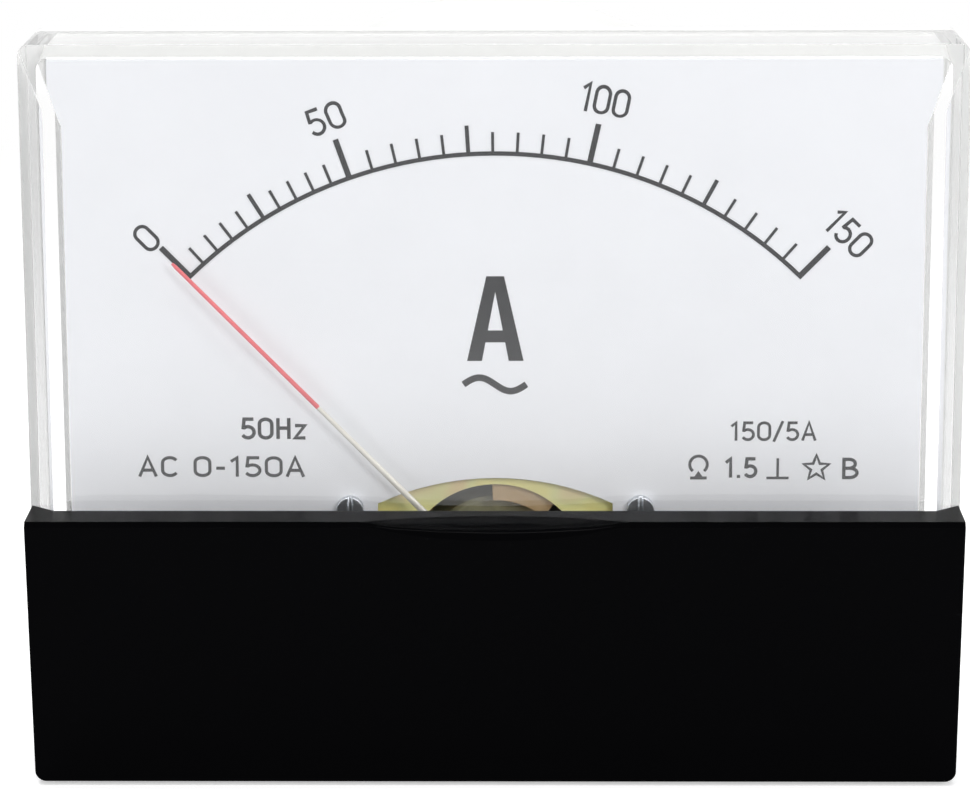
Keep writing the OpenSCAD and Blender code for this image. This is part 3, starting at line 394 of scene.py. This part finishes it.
# node: (finish, edge radius in mm)
dressing = {
    "rear_case": ("whiteAbs", 0.35),
    "clear_cover": ("clearPolystyrene", 0.3),
    "trim_cover": ("blackTrimPlastic", 0.3),
    "cover_screws": ("zincPlatedSteel", 0.12),
    "mounting_studs": ("zincPlatedSteel", 0.1),
    "dial_plate": ("stovedEnamel", 0.08),
    "dial_scale": ("screenInk", 0),
    "dial_posts": ("zincPlatedSteel", 0.1),
    "dial_screws": ("zincPlatedSteel", 0.12),
    "pointer": ("redPointerPaint", 0),
    "balance_weights": ("turnedBrass", 0.08),
    "yoke_ring": ("yellowChromate", 0.2),
    "core_magnet": ("groundMagnet", 0.1),
    "core_spacers": ("dullBrass", 0.1),
    "movement_frame": ("yellowChromate", 0.15),
    "movement_screws": ("zincPlatedSteel", 0.12),
    "front_bridge": ("turnedBrass", 0.12),
    "rear_bridge": ("turnedBrass", 0.12),
    "bridge_pillars": ("zincPlatedSteel", 0.1),
    "bridge_screws": ("zincPlatedSteel", 0.1),
    "jewel_screws": ("turnedBrass", 0.06),
    "jewel_nuts": ("turnedBrass", 0.1),
    "coil_former": ("varnishedFormer", 0.05),
    "coil_winding": ("coilWire", 0.1),
    "pivot_staffs": ("zincPlatedSteel", 0.04),
    "front_hairspring": ("bronzeStrip", 0),
    "rear_hairspring": ("bronzeStrip", 0),
    "spring_anchor": ("bronzeStrip", 0.05),
    "pointer_stops": ("zincPlatedSteel", 0.08),
    "zero_lever": ("turnedBrass", 0.05),
    "zero_adjuster": ("blackTrimPlastic", 0.12),
    "adjuster_clip": ("zincPlatedSteel", 0.05),
    "ct_core": ("siliconSteel", 0.1),
    "ct_bobbin": ("naturalNylon", 0.1),
    "ct_secondary": ("secondaryWire", 0.1),
    "ct_primary": ("drawnCopper", 0.15),
    "ct_bracket": ("zincPlatedSteel", 0.12),
    "ct_screws": ("zincPlatedSteel", 0.12),
    "rectifier_board": ("phenolicBoard", 0.08),
    "diodes": ("epoxyBody", 0.08),
    "calibration_resistor": ("resistorCoat", 0.1),
    "board_screws": ("zincPlatedSteel", 0.1),
    "terminal_studs": ("turnedBrass", 0.12),
    "terminal_washers": ("turnedBrass", 0.12),
    "terminal_nuts": ("turnedBrass", 0.2),
    "primary_leads": ("drawnCopper", 0.12),
    "signal_leads": ("pvcCover", 0),
}


softening = {
    "weld": 0.001,          # mm, joins the doubled points between faces
    "flatWithin": 0.3,      # degrees, faces that meet flatter than this become one
    "edgeAbove": 32,        # degrees, edges sharper than this are rounded
    "segments": 3,
    "faceWeight": 80,
}
# The finger scallop rolls over softly into the front, where the moulding catches a line of light
lip = {
    "roll": 1.0,            # mm, how far the edge is rounded where the scallop is deepest
    "lean": 0.15,           # mm, how far the front face leans back over the scallop's height
    "chamfer": 0.5,         # mm, from the trim's top down to the front face
    "reach": 1.1,           # mm, from there down to the scallop's lowest point, and a little more
    "halfWidth": 12.45,     # mm
    "segments": 6,
    "slack": 0.01,          # mm
}


def rollLip(node, r):
    places = [node.matrix_world @ v.co / mm for v in node.data.vertices]
    front, top = min(p.y for p in places), max(p.z for p in places)
    depths = {}
    for i, p in enumerate(places):
        depth = top - p.z - r["chamfer"]
        onFront = p.y < front + r["lean"] and abs(p.x) < r["halfWidth"]
        if onFront and -r["slack"] < depth < r["reach"]:
            depths[i] = max(0.0, depth)
    deepest = max(depths.values())
    weights = node.data.attributes.new("bevel_weight_edge", "FLOAT", "EDGE")
    for edge in node.data.edges:
        if all(v in depths for v in edge.vertices):
            weights.data[edge.index].value = sum(depths[v] for v in edge.vertices) / 2 / deepest
    roll = node.modifiers.new("lip", "BEVEL")
    roll.limit_method, roll.width, roll.segments = "WEIGHT", r["roll"] * mm, r["segments"]
    roll.use_clamp_overlap = False


def softenEdges(node, radius, s):
    weld = node.modifiers.new("weld", "WELD")
    weld.merge_threshold = s["weld"] * mm
    flat = node.modifiers.new("flatFaces", "DECIMATE")
    flat.decimate_type, flat.angle_limit = "DISSOLVE", math.radians(s["flatWithin"])
    if node.name == "trim_cover":
        rollLip(node, lip)
    edge = node.modifiers.new("edge", "BEVEL")
    edge.width, edge.segments = radius * mm, s["segments"]
    edge.limit_method, edge.angle_limit = "ANGLE", math.radians(s["edgeAbove"])
    edge.use_clamp_overlap, edge.harden_normals = True, False
    smooth = node.modifiers.new("evenNormals", "WEIGHTED_NORMAL")
    smooth.keep_sharp, smooth.weight = True, s["faceWeight"]


for name, (finish, radius) in dressing.items():
    node = nodes[name]
    for slot in node.material_slots:
        slot.material = made[finish]
    if radius:
        for face in node.data.polygons:
            face.use_smooth = True
        softenEdges(node, radius, softening)
print("CAD nodes dressed:", len(dressing))


def makePiece(name, mesh, finish, body, replaced=()):
    piece = bpy.data.objects.new(name, mesh)
    bpy.context.scene.collection.objects.link(piece)
    for f in finish if isinstance(finish, (list, tuple)) else [finish]:
        mesh.materials.append(made[f])
    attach(piece, body)
    if replaced:
        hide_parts(*replaced)
    return piece


def boundsOf(points):
    xs, zs = [p[0] for p in points], [p[1] for p in points]
    return min(xs), max(xs), min(zs), max(zs)


# Flat print on the dial: outlines in mm seen from the front, laid on the enamel as a thin film
printing = {"film": 0.05, "sunk": 0.01}


def arc(cx, cz, rx, rz, start, end, steps=14):
    return [(cx + rx * math.cos(math.radians(start + (end - start) * i / steps)),
             cz + rz * math.sin(math.radians(start + (end - start) * i / steps))) for i in range(steps + 1)]


# Pen strokes of the dial lettering, each in a cell one unit high: (width of the letter, [strokes])
letters = {
    "0": (0.58, [arc(0.29, 0.71, 0.24, 0.24, 0, 180) + arc(0.29, 0.29, 0.24, 0.24, 180, 360)
                 + [(0.53, 0.71)]]),
    "1": (0.36, [[(0.04, 0.76), (0.24, 0.95), (0.24, 0.0)]]),
    "5": (0.58, [[(0.5, 0.95), (0.14, 0.95), (0.1, 0.54)] + arc(0.28, 0.32, 0.24, 0.27, 128, -150)]),
    "A": (0.62, [[(0.04, 0.0), (0.31, 0.97), (0.58, 0.0)], [(0.13, 0.32), (0.49, 0.32)]]),
    "B": (0.56, [[(0.28, 0.51), (0.09, 0.51), (0.09, 0.95)] + arc(0.26, 0.73, 0.19, 0.22, 90, -90),
                 arc(0.28, 0.28, 0.23, 0.23, 90, -90) + [(0.09, 0.05), (0.09, 0.55)]]),
    "C": (0.58, [arc(0.31, 0.68, 0.24, 0.27, 30, 180) + arc(0.31, 0.32, 0.24, 0.27, 180, 330)]),
    "H": (0.6, [[(0.09, 0.0), (0.09, 1.0)], [(0.51, 0.0), (0.51, 1.0)], [(0.09, 0.52), (0.51, 0.52)]]),
    "z": (0.48, [[(0.05, 0.64), (0.43, 0.64), (0.05, 0.05), (0.45, 0.05)]]),
    "-": (0.4, [[(0.06, 0.42), (0.34, 0.42)]]),
    "/": (0.42, [[(0.02, -0.06), (0.4, 1.04)]]),
    ".": (0.24, [[(0.12, -0.02), (0.12, 0.13)]]),
    " ": (0.3, []),
}


def ribbon(points, width, sharpest=0.55):
    # a pen stroke: both sides of the line, mitred at its corners up to a limit
    left, right = [], []
    for i, (x, z) in enumerate(points):
        before = Vector((x, z)) - Vector(points[i - 1]) if i else None
        after = Vector(points[i + 1]) - Vector((x, z)) if i < len(points) - 1 else None
        first = (before or after).normalized()
        second = (after or before).normalized()
        along = (first + second).normalized() if (first + second).length > 0.1 else first
        mitre = 1 / max(sharpest, along.dot(second))
        side = Vector((-along.y, along.x)) * width / 2 * mitre
        left.append((x + side.x, z + side.y))
        right.append((x - side.x, z - side.y))
    return left, right


def inkMesh(name, strokes, fills=()):
    # strokes: [(points, pen width)], fills: outlines. Both are in mm as seen from the front
    bm = bmesh.new()
    for points, width in strokes:
        left, right = ribbon(points, width)
        a = [bm.verts.new((x * mm, 0, z * mm)) for x, z in left]
        b = [bm.verts.new((x * mm, 0, z * mm)) for x, z in right]
        for i in range(len(a) - 1):
            bm.faces.new((a[i], b[i], b[i + 1], a[i + 1]))
    for outline in fills:
        bm.faces.new([bm.verts.new((x * mm, 0, z * mm)) for x, z in outline])
    lift = bmesh.ops.extrude_face_region(bm, geom=bm.faces[:])
    for v in lift["geom"]:
        if isinstance(v, bmesh.types.BMVert):
            v.co.y -= printing["film"] * mm
    bmesh.ops.recalc_face_normals(bm, faces=bm.faces)
    mesh = bpy.data.meshes.new(name)
    bm.to_mesh(mesh)
    bm.free()
    return mesh


def layOnDial(mesh, x, z, turn=0.0):
    mesh.transform(Matrix.Translation((x * mm, dialFront + printing["sunk"] * mm, z * mm))
                   @ Matrix.Rotation(math.radians(turn), 4, "Y"))


def wordStrokes(word, width, height, pen, gap=0.1):
    # letters set side by side, then fitted to the width and height that the print has on the dial
    strokes, x = [], 0.0
    for letter in word:
        cell, lines = letters[letter]
        strokes += [[(x + px, pz) for px, pz in line] for line in lines]
        x += cell + gap
    points = [p for line in strokes for p in line]
    left, right, low, high = boundsOf(points)
    sx, sz = (width - pen) / (right - left), (height - pen) / (high - low)
    return [([((px - (left + right) / 2) * sx, (pz - (low + high) / 2) * sz) for px, pz in line], pen)
            for line in strokes]


# name: (word, x, z, turn in degrees clockwise, width, height, pen), in mm
dialWords = {
    "numeral0": ("0", -37.36, 18.47, -44.3, 1.95, 3.2, 0.36),
    "numeral50": ("50", -17.95, 31.47, -20.0, 4.1, 3.2, 0.36),
    "numeral100": ("100", 11.78, 33.37, 12.15, 5.3, 3.2, 0.36),
    "numeral150": ("150", 37.89, 18.85, 44.3, 5.4, 3.2, 0.36),
    "ratioMark": ("150/5A", 30.17, -2.9, 0, 9.4, 2.6, 0.3),
    "classMark": ("1.5", 26.7, -7.03, 0, 3.6, 2.5, 0.36),
    "groupMark": ("B", 38.6, -7.03, 0, 1.8, 2.4, 0.36),
    "frequencyMark": ("50Hz", -24.0, -2.54, 0, 7.2, 2.7, 0.38),
    "rangeMark": ("AC 0-150A", -29.77, -6.85, 0, 18.2, 2.5, 0.34),
}
for name, (word, x, z, turn, width, height, pen) in dialWords.items():
    mesh = inkMesh(name, wordStrokes(word, width, height, pen))
    layOnDial(mesh, x, z, turn)
    makePiece(name, mesh, "screenInk", "case")


# Sizes in mm, each sign about its own middle, apart from the unit letter, which stands on z = 0
signShapes = {
    # unit letter, bold and slightly narrow
    "halfWidth": 3.05,
    "height": 9.3,
    "leg": 1.6,
    "flatTop": 0.95,
    "barLow": 2.05,
    "barHigh": 3.35,
    "peak": 7.6,
    # wave under it
    "waveHalf": 3.4,
    "waveRise": 0.75,
    "wavePen": 0.72,
    # small signs
    "shoe": 0.95,
    "shoeLift": 0.4,
    "shoeOpen": 80,         # degrees
    "shoePen": 0.32,
    "shoeFoot": 0.9,
    "pointHalf": 0.5,
    "pointHeight": 0.75,
    "foot": -1.1,
    "uprightFoot": 1.2,
    "pen": 0.28,
    "starOuter": 1.45,
    "starInner": 0.62,
    "row": -7.0,
}


def unitLetter(s):
    # its two legs and bar as outlines, split down the middle
    half, leg, peak = s["halfWidth"], s["leg"], s["peak"]
    low, high = s["barLow"], s["barHigh"]

    def inside(z):
        return (half - leg) * (1 - z / peak)

    right = [(half, 0), (half - leg, 0), (inside(low), low), (inside(high), high), (0, peak),
             (0, s["height"]), (s["flatTop"], s["height"])]
    left = [(-x, z) for x, z in right]
    bar = [(-inside(low), low), (inside(low), low), (inside(high), high), (-inside(high), high)]
    return [left, right, bar]


def drawSigns(s):
    steps = 20
    wave = [(s["waveHalf"] * (t / steps - 1), s["waveRise"] * math.sin(math.pi * t / steps))
            for t in range(2 * steps + 1)]
    mouth = s["shoeOpen"] / 2 - 90
    horseshoe = arc(0, s["shoeLift"], s["shoe"], s["shoe"], mouth, 180 - mouth, 24)
    star = []
    for i in range(10):
        r = s["starInner"] if i % 2 else s["starOuter"]
        star.append((r * math.sin(math.pi * i / 5), r * math.cos(math.pi * i / 5)))
    between = ((star[0][0] + star[9][0]) / 2, (star[0][1] + star[9][1]) / 2)
    star = [between] + star + [between]
    foot, overlap = s["foot"], 0.05
    shoeFoot = [(-s["shoeFoot"], foot), (s["shoeFoot"], foot)]
    base = foot + overlap
    shoePoint = [(-s["pointHalf"], base), (s["pointHalf"], base), (0, base + s["pointHeight"])]
    uprightFoot = [(-s["uprightFoot"], foot), (s["uprightFoot"], foot)]
    upright = [(0, foot + 2 * overlap), (0, -foot)]
    # name: (strokes, filled outlines, x, z)
    signs = {
        "unitLetter": ([], unitLetter(s), 0.05, 4.95),
        "currentWave": ([(wave, s["wavePen"])], [], 0.0, 2.35),
        "rectifierMark": ([(horseshoe, s["shoePen"]), (shoeFoot, s["shoePen"])], [shoePoint],
                          22.1, s["row"]),
        "uprightMark": ([(uprightFoot, s["pen"]), (upright, s["pen"])], [], 30.7, s["row"]),
        "testStar": ([(star, s["pen"])], [], 34.9, s["row"]),
    }
    for name, (strokes, fills, x, z) in signs.items():
        mesh = inkMesh(name, strokes, fills)
        layOnDial(mesh, x, z)
        makePiece(name, mesh, "screenInk", "case")


drawSigns(signShapes)
print("dial print laid")


# Pointer: drawn aluminium tube, flattened toward the tip, red paint on its outer part. Sizes are in mm
pointerShape = {
    # distance from the pivot, width, thickness
    "silver": [(1.0, 0.95, 0.38), (4.0, 0.95, 0.38), (6.0, 0.8, 0.38), (27.3, 0.5, 0.34)],
    "redStart": (27.31, 0.52, 0.35),
    # distance back from the tip, width, thickness
    "red": [(6.0, 0.46, 0.32), (0.6, 0.42, 0.26), (0.05, 0.3, 0.2)],
    "sides": 12,
    "rest": -44.3,          # degrees from upright, at zero
    "armLength": 5.6,
    "armWidth": 0.7,
    "armThick": 0.38,
    "hubRadius": 1.4,
    "hubLength": 0.9,
    "hubEdge": 0.12,
}


def makePointer(p):
    low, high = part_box("pointer")
    yMid = (low.y + high.y) / 2
    reach = math.hypot(low.x, high.z - pivot.z) / mm
    bm = bmesh.new()
    stations = p["silver"] + [p["redStart"]] + [(reach - back, w, t) for back, w, t in p["red"]]
    rings = []
    for r, w, t in stations:
        ring = []
        for i in range(p["sides"]):
            a = 2 * math.pi * i / p["sides"]
            ring.append(bm.verts.new((w / 2 * math.cos(a) * mm, t / 2 * math.sin(a) * mm, r * mm)))
        rings.append(ring)
    for k in range(len(rings) - 1):
        for i in range(p["sides"]):
            j = (i + 1) % p["sides"]
            face = bm.faces.new((rings[k][i], rings[k][j], rings[k + 1][j], rings[k + 1][i]))
            face.smooth = True
            face.material_index = 1 if k >= len(p["silver"]) - 1 else 0
    for ring, last in ((rings[0], False), (rings[-1], True)):
        face = bm.faces.new(ring if last else ring[::-1])
        face.material_index = 1 if last else 0
    # three balance arms and the hub, each a short bar first, then shaped and turned into place
    centre, length = Vector((0, 0, 0)), p["armLength"] * mm
    for turn in (90, 180, 270):
        bar = bmesh.ops.create_cone(bm, cap_ends=True, segments=p["sides"], radius1=mm, radius2=mm,
                                    depth=length)
        bmesh.ops.scale(bm, vec=(p["armWidth"] / 2, p["armThick"] / 2, 1), verts=bar["verts"])
        bmesh.ops.translate(bm, vec=(0, 0, length / 2), verts=bar["verts"])
        across = Matrix.Rotation(math.radians(turn), 3, "Y")
        bmesh.ops.rotate(bm, cent=centre, matrix=across, verts=bar["verts"])
    hub = bmesh.ops.create_cone(bm, cap_ends=True, segments=32, radius1=p["hubRadius"] * mm,
                                radius2=p["hubRadius"] * mm, depth=p["hubLength"] * mm)
    bmesh.ops.rotate(bm, cent=centre, matrix=Matrix.Rotation(math.radians(90), 3, "X"), verts=hub["verts"])
    rims = [e for e in bm.edges if all(v in hub["verts"] for v in e.verts) and e.calc_face_angle(0) > 1.0]
    bmesh.ops.bevel(bm, geom=rims, offset=p["hubEdge"] * mm, segments=2, affect="EDGES")
    atZero = Matrix.Rotation(math.radians(p["rest"]), 3, "Y")
    bmesh.ops.rotate(bm, cent=centre, matrix=atZero, verts=bm.verts)
    bmesh.ops.translate(bm, vec=(0, yMid, pivot.z), verts=bm.verts)
    bmesh.ops.recalc_face_normals(bm, faces=bm.faces)
    mesh = bpy.data.meshes.new("needle")
    bm.to_mesh(mesh)
    bm.free()
    piece = makePiece("needle", mesh, ["lacqueredTube", "redPointerPaint"], "moving_coil", ("pointer",))


makePointer(pointerShape)
print("needle made")


# Screw threads: a helical ridge on a bar along Y. Sizes are in mm, and y runs back from the panel
mounting = {
    "radius": 1.5,
    "pitch": 0.5,
    "around": 20,
    "chamfer": 0.4,
    "headRadius": 3.0,
    "headFront": -3.9,
    "headEdge": 0.2,
    "headCone": 0.3,
    "headBack": -2.5,
    "collarRadius": 2.1,
    "collarTo": -0.3,
    "neck": [(0, 1.75), (0.02, 1.3)],
}
terminal = {
    "radius": 2.5,
    "pitch": 0.8,
    "around": 28,
    "chamfer": 0.6,
    "headThick": 2.0,
    "edge": 0.3,
    "nutEdge": 0.35,
    "countersink": 0.4,
    "shankLess": 0.05,      # the plain part under the nut is a little thinner than the thread
    "hidden": 0.2,          # the thread starts this far under the nut's face
    "holeMore": 0.02,
}
threadForm = {
    "rowsPerPitch": 4,
    "depth": 0.55,          # of the pitch
    "flank": 1.3,
    "crest": 0.15,
    "point": 0.7,           # how far the end is turned down, of the chamfer
}


def threadBar(bm, t, x, z, yFrom, yTo, form=threadForm):
    around = t["around"]
    rows = int((yTo - yFrom) / t["pitch"] * form["rowsPerPitch"]) + 1
    depth = t["pitch"] * form["depth"]
    rings = []
    for k in range(rows + 1):
        y = yFrom + (yTo - yFrom) * k / rows
        end = min(1.0, (yTo - y) / t["chamfer"])
        ring = []
        for i in range(around):
            a = 2 * math.pi * i / around
            phase = ((y - yFrom) / t["pitch"] - i / around) % 1.0
            cut = abs(phase - 0.5) * 2 * form["flank"] - form["crest"]
            r = t["radius"] - depth * max(0.0, min(1.0, cut)) - form["point"] * t["chamfer"] * (1 - end)
            ring.append(bm.verts.new(((x + r * math.cos(a)) * mm, y * mm, (z + r * math.sin(a)) * mm)))
        rings.append(ring)
    for k in range(rows):
        for i in range(around):
            j = (i + 1) % around
            bm.faces.new((rings[k][i], rings[k][j], rings[k + 1][j], rings[k + 1][i])).smooth = True
    bm.faces.new(rings[0][::-1])
    bm.faces.new(rings[-1])


def turnedBar(bm, profile, x, z, sides=48, flat=None, ring=False):
    # profile: (y, radius) from front to back. flat is half the hexagon's width, and a ring has no ends
    rings = []
    for y, radius in profile:
        edge = []
        for i in range(sides):
            a = 2 * math.pi * i / sides
            r = min(radius, flat / math.cos(a % (math.pi / 3) - math.pi / 6)) if flat else radius
            edge.append(bm.verts.new(((x + r * math.cos(a)) * mm, y * mm, (z + r * math.sin(a)) * mm)))
        rings.append(edge)
    for near, far in zip(rings, rings[1:] + rings[:1] if ring else rings[1:]):
        for i in range(sides):
            j = (i + 1) % sides
            bm.faces.new((near[i], near[j], far[j], far[i]))
    if not ring:
        bm.faces.new(rings[0][::-1])
        bm.faces.new(rings[-1])


def finishMesh(name, bm, smoothAngle=35):
    bmesh.ops.recalc_face_normals(bm, faces=bm.faces)
    for edge in bm.edges:
        edge.smooth = edge.calc_face_angle(0) < math.radians(smoothAngle)
    for face in bm.faces:
        face.smooth = True
    mesh = bpy.data.meshes.new(name)
    bm.to_mesh(mesh)
    bm.free()
    return mesh


def makeMountingStuds(t):
    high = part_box("mounting_studs")[1] / mm
    head, edge = t["headRadius"], t["headEdge"]
    x, z = high.x - head, high.z - head
    profile = [(t["headFront"], head - t["headCone"]), (t["headFront"] + edge, head), (t["headBack"], head),
               (t["headBack"], t["collarRadius"]), (t["collarTo"], t["collarRadius"])] + t["neck"]
    bm = bmesh.new()
    for sx in (-1, 1):
        for sz in (-1, 1):
            turnedBar(bm, profile, sx * x, sz * z)
            threadBar(bm, t, sx * x, sz * z, 0.0, high.y)
    mesh = finishMesh("threadedStuds", bm)
    makePiece("threadedStuds", mesh, "zincPlatedSteel", "case", ("mounting_studs",))


def makeTerminals(t):
    low, high = (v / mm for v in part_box("terminal_studs"))
    nutLow, nutHigh = (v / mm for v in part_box("terminal_nuts"))
    headFlat, nutFlat = (high.z - low.z) / 2, (nutHigh.z - nutLow.z) / 2
    headCorner, nutCorner = (f / math.cos(math.pi / 6) for f in (headFlat, nutFlat))
    x, z = high.x - headCorner, (low.z + high.z) / 2
    headBack = low.y + t["headThick"]
    sides = 72
    bar = [(low.y, headFlat), (low.y + t["edge"], headCorner), (headBack, headCorner),
           (headBack, t["radius"]), (nutLow.y, t["radius"] - t["shankLess"])]
    bm = bmesh.new()
    for sx in (-1, 1):
        turnedBar(bm, bar, sx * x, z, sides, headFlat)
        threadBar(bm, t, sx * x, z, nutLow.y - t["hidden"], high.y)
    mesh = finishMesh("threadedTerminals", bm)
    makePiece("threadedTerminals", mesh, "turnedBrass", "case", ("terminal_studs",))
    hole, edge, sink = t["radius"] + t["holeMore"], t["nutEdge"], t["countersink"]
    nut = [(nutLow.y, hole + t["edge"]), (nutLow.y, nutFlat), (nutLow.y + edge, nutCorner),
           (nutHigh.y - edge, nutCorner), (nutHigh.y, nutFlat), (nutHigh.y, hole + t["edge"]),
           (nutHigh.y - sink, hole), (nutLow.y + sink, hole)]
    bm = bmesh.new()
    for sx in (-1, 1):
        turnedBar(bm, nut, sx * x, z, sides, nutFlat, ring=True)
    mesh = finishMesh("hexNuts", bm, 25)
    makePiece("hexNuts", mesh, "turnedBrass", "case", ("terminal_nuts",))


makeMountingStuds(mounting)
makeTerminals(terminal)
print("studs, terminals and nuts made")
